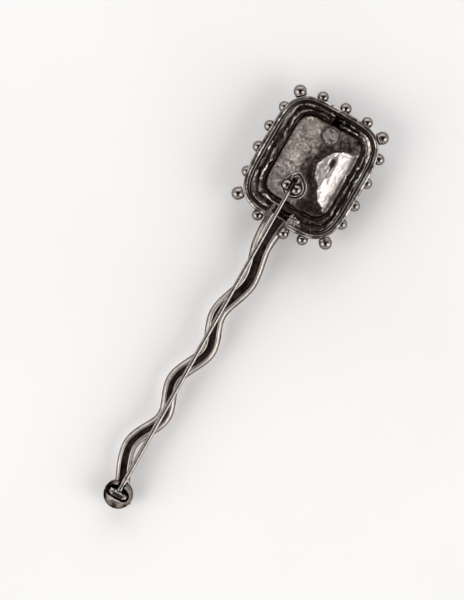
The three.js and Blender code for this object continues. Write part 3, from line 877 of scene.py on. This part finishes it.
def bezel():
    """Plain collar that holds the stone at the front."""
    low, high = cad("stone_bezel")
    outer = SHELL_INSET + 1.05
    top = high[2]
    profile = rounded([
        (outer + 0.6, top), (outer, top), (outer, 1.05), (outer + 0.12, 0.75), (outer + 0.4, low[2]),
        (outer + 0.75, low[2] + 0.02), (outer + 1.05, 1.05), (outer + 0.5, 1.3), (outer + 0.45, top - 0.1),
        (outer + 0.6, top),
    ], 2)[:-1]
    rings = [head_ring(HALF_WIDTH - inset, z, back=False) for inset, z in profile]
    faces = loft_faces(len(rings), len(BORDER), close_loft=True)
    piece("stone_setting", np.vstack(rings), faces, BEAD, "stone_bezel", angle=50)


def stone():
    """Cushion-cut stone: table, star and kite facets on the crown, girdle, stepped pavilion."""
    girdle = (STONE_HIGH[0] - STONE_LOW[0]) / 2
    table = girdle - 2.85
    levels = [
        (table, STONE_LOW[2], 16, 0.5), (girdle - 1.55, 0.75, 16, 0.0), (girdle, 1.72, 32, 0.0),
        (girdle, 2.15, 32, 0.0), (girdle - 2.2, 3.0, 16, 0.0), (girdle - 4.4, STONE_HIGH[2] - 0.05, 16, 0.5),
    ]
    verts, rings = [], []
    for half, z, count, twist in levels:
        angles = (np.arange(count) + twist) * 2 * np.pi / count
        ring = head_ring(half, z, angles, back=False)
        rings.append(list(range(len(verts), len(verts) + count)))
        verts.extend(ring)
    faces = [tuple(rings[0]), tuple(rings[-1])]
    for lower, upper in zip(rings[:-1], rings[1:]):
        faces.extend(facets(np.array(verts), lower, upper))
    piece("cut_stone", verts, faces, GLASS, "front_stone", angle=3)


def facets(verts, first, second):
    """Triangles between two rings that may have different counts, joined in order of angle."""
    def angle(i):
        return math.atan2(verts[i][1] - HEAD[1], verts[i][0] - HEAD[0]) % (2 * math.pi)
    a = sorted(first, key=angle)
    b = sorted(second, key=angle)
    faces, i, j = [], 0, 0
    while i < len(a) or j < len(b):
        next_a = angle(a[i]) if i < len(a) else 99
        next_b = angle(b[j]) if j < len(b) else 99
        if next_a <= next_b:
            faces.append((a[i - 1], a[i % len(a)], b[j - 1]))
            i += 1
        else:
            faces.append((a[i - 1], b[j % len(b)], b[j - 1]))
            j += 1
    return faces


bezel()
stone()


# ---- tail ball ----

def sweep(start, end, count):
    """Rings of directions that turn evenly from one ring of directions to another."""
    angle = np.arccos(np.clip((start * end).sum(1), -1, 1))
    for t in np.linspace(0, 1, count):
        yield ((np.sin((1 - t) * angle) / np.sin(angle))[:, None] * start
               + (np.sin(t * angle) / np.sin(angle))[:, None] * end)


def tail_ball():
    """Hollow ball with an oval mouth at its back, and a notch that the needle leaves through."""
    inner_r = BALL_R - BALL_WALL
    turn = np.linspace(0, 2 * np.pi, 160, endpoint=False)
    ring = at_height(np.cos(turn), np.sin(turn))
    plan = MOUTH[:2] + MOUTH[2:] * ring[:, :2]
    plan *= np.minimum(1, (inner_r - 0.03) / np.linalg.norm(plan, axis=1))[:, None]
    bevel = 1 - 0.32 * smoothstep(-np.sin(turn), -0.1, 0.6)  # the lip slopes inward at its lower side
    inner_plan = plan * np.stack([np.ones_like(bevel), bevel], 1)
    away = np.abs(BALL_R * np.cos(turn) - (NEEDLE_ROOT[0] - BALL[0] - 0.02))
    notch = ((1 - smoothstep(away, 0.84, 1.0)) * (plan[:, 1] > 0))[:, None]
    low_edge = unit(ring + (0, 0, 0.22))

    def edge(radius, outline):
        height = np.sqrt(np.maximum(radius ** 2 - (outline ** 2).sum(1), 0.01))
        return unit(np.column_stack([outline, height]) / radius * (1 - notch) + low_edge * notch)

    def level(radius, angle):
        return radius * (ring * math.cos(angle) + np.array([0, 0, math.sin(angle)]))

    outer_edge, inner_edge = edge(BALL_R, plan), edge(inner_r, inner_plan)
    rings = [level(BALL_R, angle) for angle in np.radians(np.linspace(-88, -3, 22))]
    rings += [BALL_R * r for r in sweep(ring, outer_edge, 18)]
    lip_out, lip_in = rings[-1], inner_r * inner_edge
    rings[-1] = lip_out + (rings[-2] - lip_out) * 0.25
    rings += [lip_out + (lip_in - lip_out) * t for t in (0.12, 0.5, 0.88)]
    rings += [inner_r * r for r in sweep(inner_edge, ring, 12)][1:]
    rings += [level(inner_r, angle) for angle in np.radians(np.linspace(-5, -85, 12))]
    count = len(turn)
    verts = np.vstack(rings + [[[0, 0, -BALL_R], [0, 0, -inner_r]]])
    faces = loft_faces(len(rings), count)
    bottom, inside = len(verts) - 2, len(verts) - 1
    last = (len(rings) - 1) * count
    faces += [(bottom, (j + 1) % count, j) for j in range(count)]
    faces += [(inside, last + j, last + (j + 1) % count) for j in range(count)]

    x, y, z = verts.T
    out = np.hypot(x, y)
    hollow = np.linalg.norm(verts, axis=1) < BALL_R - 0.3
    # painted shade: a dark crescent on the left, dark patches beneath and streaky darkening on the lower
    # side, all summed in shade
    crescent = smoothstep(-x, 1.7, 2.4) * smoothstep(-y, -2.8, -1.6) * smoothstep(y, -3.3, -2.6)
    beneath = smoothstep(-np.hypot(x - 0.5, y + 2.7), -1.0, -0.4)
    beneath += smoothstep(-np.hypot(x - 2.7, y + 1.5), -0.6, -0.2)
    streaks = smoothstep(noise_at(verts * (0.5, 1.6, 1), 0.8, 3, 71.0), 0.0, 0.4) * smoothstep(-y, 0.6, 1.8)
    shade = np.clip(crescent + 0.9 * beneath + 0.7 * streaks, 0, 1)
    dents = 0.09 * noise_at(verts, 0.9, 3, 77.0) * smoothstep(-y, 1.0, 2.0)
    verts[:, 2] += np.where(hollow, 0, dents)
    # painted shade inside the hollow, eased toward its lower side; the bevel of the lower lip is left
    # undarkened so it reads as a light strip
    inside_shade = 0.2 + 0.78 * smoothstep(y, -1.9, -0.9)
    on_lip = (y < -0.9) & (y > -1.9) & (z > 2.35) & (out < 3.2)
    patina_and_shade = np.where(on_lip, 0.0, np.where(hollow, inside_shade, 0.95 * shade))
    verts += BALL
    obj = piece("tail_sphere", verts, faces, BEAD, "tail_ball", angle=50)
    # outside the hollow the ball is made lighter where the painted shade is weak
    paint(obj, verts, patina_and_shade, np.where(hollow, 0.0, 0.25 * (1 - shade)))


def hinge():
    """Rivet with domed ends and its peened head, two ears, and the needle's knuckle between them."""
    low, high = cad("hinge_rivet")
    radius, half = (high[2] - low[2]) / 2, (high[0] - low[0]) / 2
    dome = [(0, half), (radius * 0.6, half - 0.04), (radius, half - 0.25)]
    profile = rounded(dome + [(x, -z) for x, z in reversed(dome)], 1)
    piece("rivet", *turned(profile, 32, (1, 0, 0), RIVET), WIRE, "hinge_rivet", angle=0)
    head = rounded([(0, 0.3), (0.2, 0.27), (0.36, 0.15), (0.42, 0), (0.42, -0.3), (0, -0.3)], 1)
    side = math.sqrt(BALL_R ** 2 - (RIVET[2] - BALL[2]) ** 2 - (RIVET[1] - BALL[1]) ** 2)
    verts, faces = turned(head, 32, (1, 0, 0), (BALL[0] + side, RIVET[1] - 0.3, RIVET[2]))
    piece("rivet_head", verts, faces, WIRE, angle=0)

    cavity = BALL_R - BALL_WALL - 0.12
    for side in ("left", "right"):
        low, high = cad(f"hinge_ear_{side}")
        top = arc(KNUCKLE_R, 0, 180, 33, (RIVET[1], RIVET[2]))
        foot = [(1, 1.6), (0.9, 0.8), (0.5, 0.1), (-0.5, 0.1), (-0.9, 0.8), (-1, 1.6)]
        foot = [(RIVET[1] - KNUCKLE_R * x, low[2] + z) for x, z in foot]
        verts, faces = slab(top + foot, low[0], high[0], 0, 0.14)
        away = verts - BALL
        allowed = np.sqrt(np.maximum(cavity ** 2 - away[:, 0] ** 2, 0.04))
        across = np.linalg.norm(away[:, 1:], axis=1)
        away[:, 1:] *= np.minimum(1, allowed / np.maximum(across, 1e-6))[:, None]
        piece(f"ear_{side}", away + BALL, faces, WIRE, f"hinge_ear_{side}")

    low, high = cad("needle_knuckle")
    half, bore, r = (high[0] - low[0]) / 2, 0.46, KNUCKLE_R - 0.02
    end = [(bore, half), (r - 0.1, half), (r, half - 0.1)]
    barrel = rounded(end + [(x, -z) for x, z in reversed(end)] + end[:1], 1)[:-1]
    verts, _ = turned(barrel, 48, (1, 0, 0), middle("needle_knuckle"))
    faces = loft_faces(len(barrel), 48, close_loft=True)
    piece("knuckle", verts, faces, WIRE, "needle_knuckle", "needle_body")


def needle():
    """Drawn wire that narrows toward the catch and ends in a long point."""
    direction = NEEDLE_TIP - NEEDLE_ROOT
    length = np.linalg.norm(direction)
    thick, thin = NEEDLE_R
    sink = 1.15  # from the root's centre to the wire's first ring
    profile = [(0, sink), (thick + 0.06, sink + 0.02), (thick + 0.05, sink + 0.4), (thick, sink + 1.0)]
    profile += [(thick + (thin - thick) * t, 2.4 + (length - 5.6) * t) for t in np.linspace(0, 1, 60)]
    point = [(0.88, 2.2), (0.66, 1.2), (0.36, 0.4), (0.16, 0.1), (0, 0)]
    profile += [(thin * x, length - z) for x, z in point]
    verts, faces = turned(profile, 40, direction, NEEDLE_ROOT)
    piece("needle_wire", verts, faces, WIRE, "needle", "needle_body", angle=0)


tail_ball()
hinge()
needle()


# ---- catch ----

def catch_plate():
    """Leaf-shaped plate with a rolled border, its point toward the head's far end."""
    low, high = cad("catch_pad")
    radius = (high[0] - low[0]) / 2
    peak = (high[1] - low[1] - radius) / radius
    outline = np.array(arc(1.0, 132, 408, 60) + [(0.35, 1.0), (-0.2, peak), (-0.5, 1.0)]) * radius
    centre = np.array([(low[0] + high[0]) / 2, low[1] + radius])
    fine = rounded(np.vstack([outline, outline[:1]]))[:-1]
    border = from_level(high[2], [(0.98, -0.02), (0.93, 0.02), (0.87, -0.05), (0.82, -0.4), (0.78, -0.42),
                                  (0.74, -0.12), (0.69, -0.08), (0.64, -0.38), (0.4, -0.42), (0.1, -0.4)])
    levels = rounded([(1.0, low[2] - 0.1), (1.0, low[2] + 0.25)] + border)
    verts = np.vstack([at_height(*(centre + fine * scale).T, z) for scale, z in levels])
    verts[:, 2] += noise_at(verts, 0.9, 3, 40.0) * 0.1
    obj = piece("catch_plate", verts, capped(len(levels), len(fine)), CAST, "catch_pad", angle=50)
    scale = np.repeat(levels[:, 0], len(fine))
    paint(obj, verts, 0.95 * near_any(scale, (0.8, 0.6), 0.05) + 0.5 * (scale < 0.6),
          near_any(scale, (0.93, 0.71), 0.05))


def catch():
    """Open ring on a foot, and the slotted drum in it that carries the two knobs."""
    low, high = cad("catch_housing")
    axis = (CATCH[0], CATCH_Z)
    ring_r, bore = (high[0] - low[0]) / 2, CATCH_R + 0.05
    opening, foot = SLOT + 0.1, 0.75
    gape, inner_gape, foot_angle = (math.degrees(math.asin(share)) for share in
                                    (opening / ring_r, opening / bore, foot / ring_r))
    right = arc(ring_r, 90 - gape, -90 + foot_angle, 24, axis)
    left = arc(ring_r, 270 - foot_angle, 90 + gape, 24, axis)
    hollow = arc(bore, 90 + inner_gape, 450 - inner_gape, 40, axis)
    outline = right + [(axis[0] + foot, low[2]), (axis[0] - foot, low[2])] + left + hollow
    verts, faces = slab(outline, low[1], high[1], 1, 0.06)
    paint(piece("catch_ring", verts, faces, CAST, "catch_housing", slot="wire_metal"), verts, 0.45)

    low, high = cad("catch_drum")
    slot_angle = math.degrees(math.asin(SLOT / CATCH_R))
    shell = arc(CATCH_R, 90 - slot_angle, -270 + slot_angle, 44, axis)
    lips = [(axis[0] + x, axis[1] + 0.1) for x in (-SLOT, SLOT)]
    seat = lips[:1] + arc(SLOT, 180, 360, 15, axis) + lips[1:]
    cap = 0.4  # thickness of the drum's closed end
    verts, faces = slab(shell + seat, low[1], high[1] - cap - 0.02, 1, 0.05)
    end_verts, end_faces = slab(arc(CATCH_R, 0, 360, 45, axis)[:-1], high[1] - cap, high[1], 1, 0.05)
    faces += [tuple(i + len(verts) for i in face) for face in end_faces]
    verts = np.vstack([verts, end_verts])
    paint(piece("drum", verts, faces, CAST, "catch_drum", "catch_body", "wire_metal"), verts, 0.6)

    for side, sign in (("left", -1), ("right", 1)):
        low, high = cad(f"catch_knob_{side}")
        centre = np.array([low[0] + KNOB if sign < 0 else high[0] - KNOB, (low[1] + high[1]) / 2, CATCH_Z])
        neck = abs(centre[0] - axis[0]) - 0.82  # cut flat where it would meet the needle
        verts, faces = turned(sphere_profile(KNOB, neck, 0.06, 0.2), 56, (sign, 0, 0), centre)
        piece(f"knob_{side}", verts, faces, BEAD, f"catch_knob_{side}", "catch_body", angle=0)


def solder(name, centre, radii, seed):
    """Lump of solder beside the stem, where it meets the head."""
    bm = bmesh.new()
    bmesh.ops.create_icosphere(bm, subdivisions=5, radius=1.0)
    points = np.array([tuple(v.co) for v in bm.verts])
    faces = [[v.index for v in face.verts] for face in bm.faces]
    bm.free()
    lumps = 1 + 0.45 * noise_at(points, 1.2, 4, seed) + 0.12 * noise_at(points, 4.0, 3, seed + 5)
    verts = points * lumps[:, None] * np.array(radii) + (centre[0], HEAD[1] - centre[1], centre[2])
    paint(piece(name, verts, faces, CAST, angle=0), verts, 0.2, 0.25)


catch_plate()
solder("solder_right", (3.1, 13.9, 7.75), (1.5, 1.2, 0.5), 5.0)
solder("solder_hook", (2.3, 15.3, 7.5), (0.6, 0.8, 0.8), 4.0)
solder("solder_left", (-3.85, 14.9, 7.2), (0.6, 1.0, 1.4), 8.0)
solder("stem_lip_left", (-3.3, 13.7, 7.5), (0.5, 1.6, 0.95), 21.0)
solder("stem_lip_right", (1.75, 13.7, 7.45), (0.5, 1.5, 0.95), 26.0)
catch()


# ---- stage, light and camera ----

RIGHT = np.array([0.868, 0.497, 0.0])  # the image's right and up, in the frame's axes
UP = np.array([-0.497, 0.868, 0.0])
VIEW_WIDTH = 113.2  # millimetres across the image at the pin
VIEW_CENTRE = np.array([-0.68, 1.57, 6.0])
CAMERA_HEIGHT = 560.0
FLOOR_REACH = 1.6  # metres from the middle of the floor to its sides
FLOOR_GAP = 0.00002


def floor():
    mesh = bpy.data.meshes.new("floor")
    corners = [(-1, -1), (1, -1), (1, 1), (-1, 1)]
    mesh.from_pydata([(x * FLOOR_REACH, y * FLOOR_REACH, 0) for x, y in corners], [], [(0, 1, 2, 3)])
    obj = placed("floor", mesh)
    obj.location.z = -FLOOR_GAP
    m = Surface("pale_floor")
    cloud = m.noise(0.01, 3, 0.5)
    pale = m.ramp(cloud, [(0.3, (0.89, 0.88, 0.868)), (0.7, (0.93, 0.922, 0.912))])
    m.skin(Roughness=0.5, Base_Color=pale)
    mesh.materials.append(m.material)


def softbox(name, right, up, height, size, power, colour):
    """An area light placed by the image's right and up and the height, all in metres, aimed at the pin."""
    light = bpy.data.lights.new(name, "AREA")
    light.shape = "RECTANGLE"
    light.size, light.size_y = size
    light.energy = power
    light.color = colour
    obj = placed(name, light)
    obj.location = place = RIGHT * right + UP * up + np.array([0, 0, height])
    obj.rotation_euler = Vector(-place).to_track_quat("-Z", "Y").to_euler()


def camera():
    """Looks straight down at the back, with the image's right along RIGHT."""
    data = bpy.data.cameras.new("camera")
    data.sensor_fit = "HORIZONTAL"
    data.sensor_width = 24.0
    data.lens = data.sensor_width * CAMERA_HEIGHT / VIEW_WIDTH
    data.clip_start, data.clip_end = 0.01, 20
    obj = placed("camera", data)
    obj.location = (VIEW_CENTRE + np.array([0, 0, CAMERA_HEIGHT])) * MM
    obj.rotation_euler = (0, 0, math.atan2(RIGHT[1], RIGHT[0]))
    bpy.context.scene.camera = obj


def surroundings():
    """Soft studio light: bright low down and dark overhead, so that the metal mirrors both."""
    world = bpy.data.worlds.new("studio")
    w = Nodes(world, "Background", "Generated")
    height = w.node("SeparateXYZ", {"Vector": w.place}).outputs["Z"]
    glow = w.ramp(height, [(0.0, (0.95, 0.95, 0.96)), (0.45, (0.55, 0.55, 0.56)),
                           (0.88, (0.02, 0.02, 0.022))])
    w.skin(Color=glow, Strength=1.5)
    bpy.context.scene.world = world
    bpy.context.scene.view_settings.view_transform = "Standard"


floor()
softbox("left_softbox", -0.95, -0.32, 0.74, (0.9, 1.1), 8.0, (1.0, 0.98, 0.95))
softbox("right_softbox", 0.95, -0.46, 0.7, (0.85, 1.05), 7.4, (1.0, 0.985, 0.965))
softbox("far_fill", 0.0, 1.25, 0.85, (1.9, 1.1), 9.0, (0.97, 0.98, 1.0))
surroundings()
camera()
